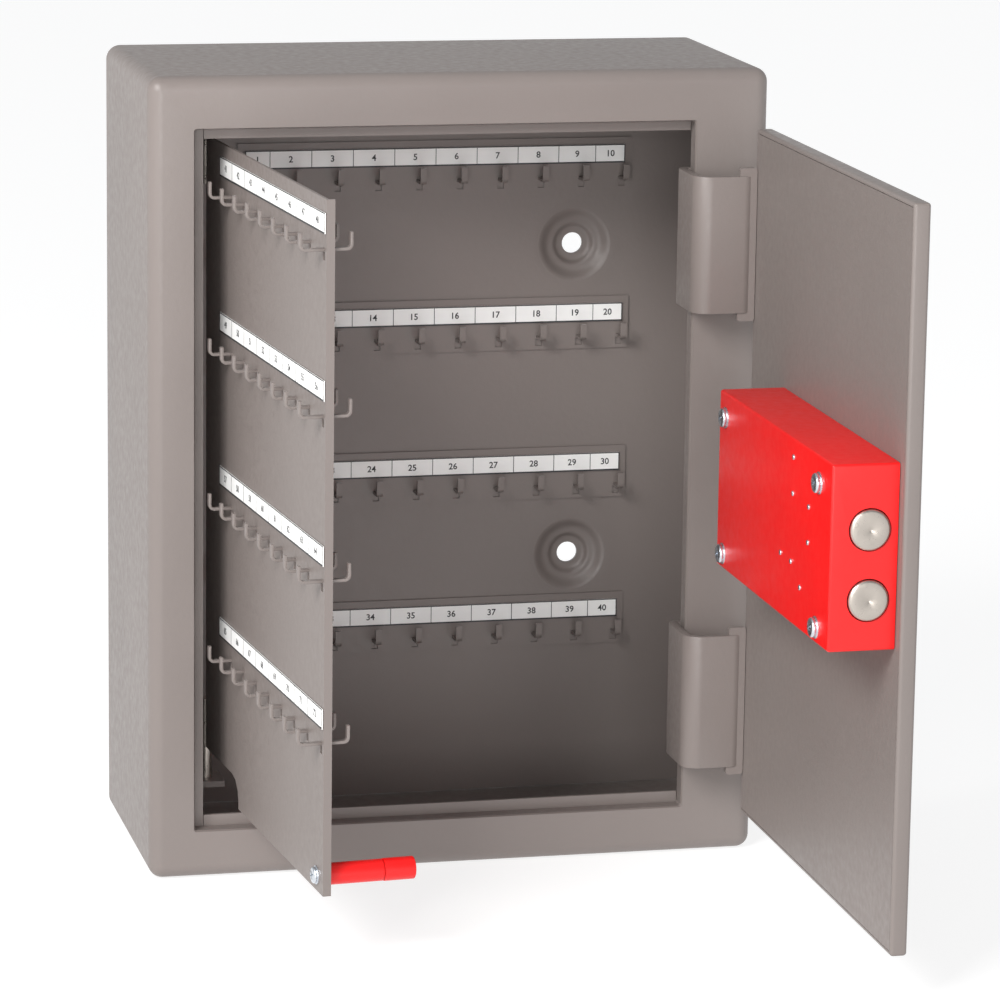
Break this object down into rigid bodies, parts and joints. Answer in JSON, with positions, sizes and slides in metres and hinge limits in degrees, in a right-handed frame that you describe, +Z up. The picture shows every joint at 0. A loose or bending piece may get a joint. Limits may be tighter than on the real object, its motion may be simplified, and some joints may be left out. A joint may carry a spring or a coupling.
{
  "type": "key cabinet",
  "caption": "Wall-hung steel key cabinet with numbered hook rows, a swing-out hook leaf and a flush door with a boxed two-bolt key lock, shown open.",
  "frame": {"origin": "centre of the body's underside", "axes": "+X to the cabinet's right, +Y from its front to the wall, +Z up"},
  "size_m": [0.31, 0.401, 0.4],
  "materials": {
    "taupe_paint": "fine-textured satin powder coat",
    "red_paint": "semi-gloss",
    "zinc_plate": "bright zinc plating",
    "satin_steel": "satin",
    "brass": "satin",
    "label_card": "matte printed strip"
  },
  "bodies": {
    "cabinet": {"body_shell": "taupe_paint", "back_panel": "taupe_paint", "door_stop_left": "taupe_paint", "door_stop_top": "taupe_paint", "door_stop_bottom": "taupe_paint", "back_label_1": "label_card", "back_label_2": "label_card", "back_label_3": "label_card", "back_label_4": "label_card", "back_hook_plate_1": "taupe_paint", "back_hook_plate_2": "taupe_paint", "back_hook_plate_3": "taupe_paint", "back_hook_plate_4": "taupe_paint", "hinge_bracket_upper": "taupe_paint", "hinge_bracket_lower": "taupe_paint", "leaf_bracket_upper": "taupe_paint", "leaf_bracket_lower": "taupe_paint"},
    "hinge_pins": {"hinge_pin_upper": "satin_steel", "hinge_pin_lower": "satin_steel"},
    "door": {"door_skin": "taupe_paint", "door_inner_plate": "taupe_paint", "hinge_neck_upper": "taupe_paint", "hinge_neck_lower": "taupe_paint", "lock_case": "red_paint", "lock_base_plate": "satin_steel", "bolt_guide": "satin_steel", "lock_lever_pack": "brass", "lock_screw_1": "zinc_plate", "lock_screw_2": "zinc_plate", "lock_screw_3": "zinc_plate", "lock_screw_4": "zinc_plate", "keyhole_escutcheon": "zinc_plate"},
    "bolts": {"bolt_bar": "satin_steel", "bolt_upper": "satin_steel", "bolt_lower": "satin_steel"},
    "key": {"key_barrel": "satin_steel"},
    "leaf": {"leaf_panel": "taupe_paint", "leaf_pivot_upper": "satin_steel", "leaf_pivot_lower": "satin_steel", "leaf_front_label_1": "label_card", "leaf_front_label_2": "label_card", "leaf_front_label_3": "label_card", "leaf_front_label_4": "label_card", "leaf_front_hooks_1": "taupe_paint", "leaf_front_hooks_2": "taupe_paint", "leaf_front_hooks_3": "taupe_paint", "leaf_front_hooks_4": "taupe_paint", "leaf_rear_label_1": "label_card", "leaf_rear_label_2": "label_card", "leaf_rear_label_3": "label_card", "leaf_rear_label_4": "label_card", "leaf_rear_hooks_1": "taupe_paint", "leaf_rear_hooks_2": "taupe_paint", "leaf_rear_hooks_3": "taupe_paint", "leaf_rear_hooks_4": "taupe_paint", "leaf_grip": "red_paint", "leaf_grip_tip": "red_paint", "leaf_grip_screw": "zinc_plate"}
  },
  "joints": [
    {"name": "door_first_swing", "type": "hinge", "parent": "cabinet", "child": "hinge_pins", "pos_m": [0.143, -0.0595, 0.2], "axis": [0, 0, -1], "range_deg": [0, 40.5]},
    {"name": "door_last_swing", "type": "hinge", "parent": "hinge_pins", "child": "door", "pos_m": [0.143, -0.0595, 0.2], "axis": [0, 0, -1], "range_deg": [0, 49.5]},
    {"name": "leaf_hinge", "type": "hinge", "parent": "cabinet", "child": "leaf", "pos_m": [-0.1168, -0.0075, 0.2], "axis": [0, 0, 1], "range_deg": [0, 85.4]},
    {"name": "bolt_throw", "type": "slide", "parent": "door", "child": "bolts", "axis": [0, -1, 0], "range_m": [0, 0.012]},
    {"name": "key_turn", "type": "hinge", "parent": "door", "child": "key", "pos_m": [0.147, -0.218, 0.211], "axis": [1, 0, 0], "range_deg": [0, 180]}
  ],
  "couplings": [
    {"joint": "leaf_hinge", "follows": "door_first_swing", "ratio": 2.1086},
    {"joint": "key_turn", "follows": "bolt_throw", "rad_per_m": 261.7}
  ]
}
